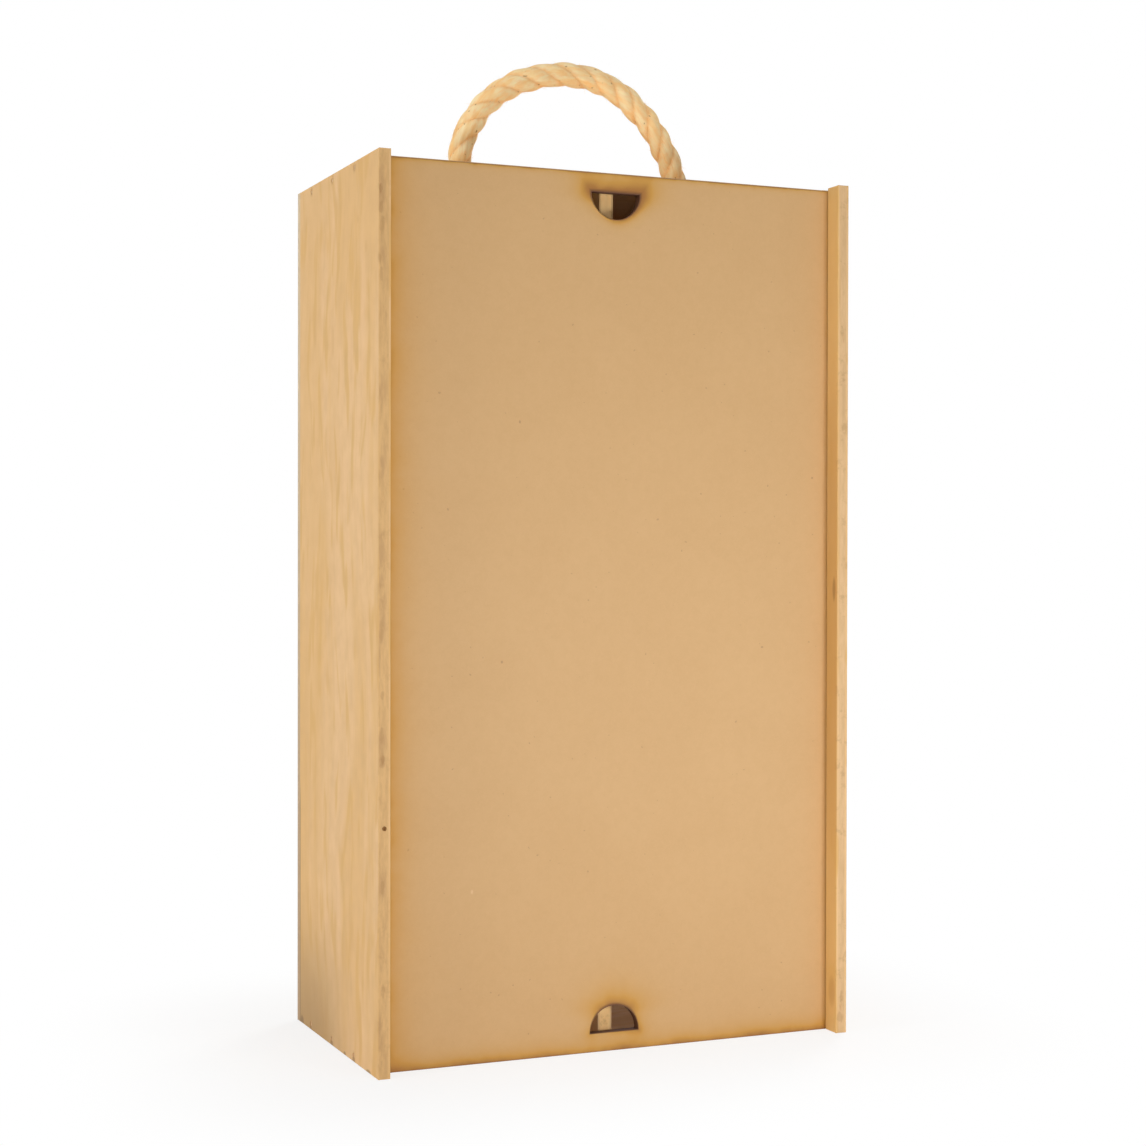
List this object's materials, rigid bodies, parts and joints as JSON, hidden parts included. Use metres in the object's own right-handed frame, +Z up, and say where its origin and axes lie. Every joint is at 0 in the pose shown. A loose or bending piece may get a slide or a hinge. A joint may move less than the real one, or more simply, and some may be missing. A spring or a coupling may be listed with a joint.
{
  "type": "bottle box",
  "caption": "Upright wooden carrying box for bottles: sliding front lid with half-round finger holes, centre divider and a rope handle through the top.",
  "frame": {"origin": "middle of the base, on the surface that the box stands on", "axes": "+Z up along the height, +X to the right seen from the front, -Y towards the sliding lid, +Y towards the back panel"},
  "size_m": [0.203, 0.111, 0.4029],
  "materials": {
    "plywood": "bare sanded plywood, pale face veneer with fine upright grain, sawn edges showing the plies",
    "fibreboard": "bare fine fibreboard, matt, cut edges scorched brown by a laser",
    "rope": "natural plant-fibre rope of three strands, right-hand laid, matt with loose fibres",
    "brads": "plain steel brads, heads punched just under the face"
  },
  "bodies": {
    "case": {"left_side": "plywood", "right_side": "plywood", "top_panel": "plywood", "bottom_panel": "plywood", "back_panel": "fibreboard", "centre_divider": "plywood", "left_side_brads": "brads", "right_side_brads": "brads", "back_brads": "brads", "divider_brads": "brads"},
    "lid": {"sliding_lid": "fibreboard"},
    "rope_legs": {"rope_ends": "rope", "left_knot": "rope", "right_knot": "rope"},
    "handle": {"rope_arch": "rope", "rope_bends": "rope"}
  },
  "joints": [
    {"name": "lid_slide", "type": "slide", "parent": "case", "child": "lid", "axis": [0, 0, 1], "range_m": [0, 0.34]},
    {"name": "handle_rise", "type": "slide", "parent": "case", "child": "rope_legs", "axis": [0, 0, 1], "range_m": [0, 0.006]},
    {"name": "handle_lean", "type": "hinge", "parent": "rope_legs", "child": "handle", "pos_m": [0, 0, 0.3575], "axis": [1, 0, 0], "range_deg": [-60, 60], "stiffness_Nm_per_rad": 0.03, "deforming": ["rope_bends"]}
  ]
}
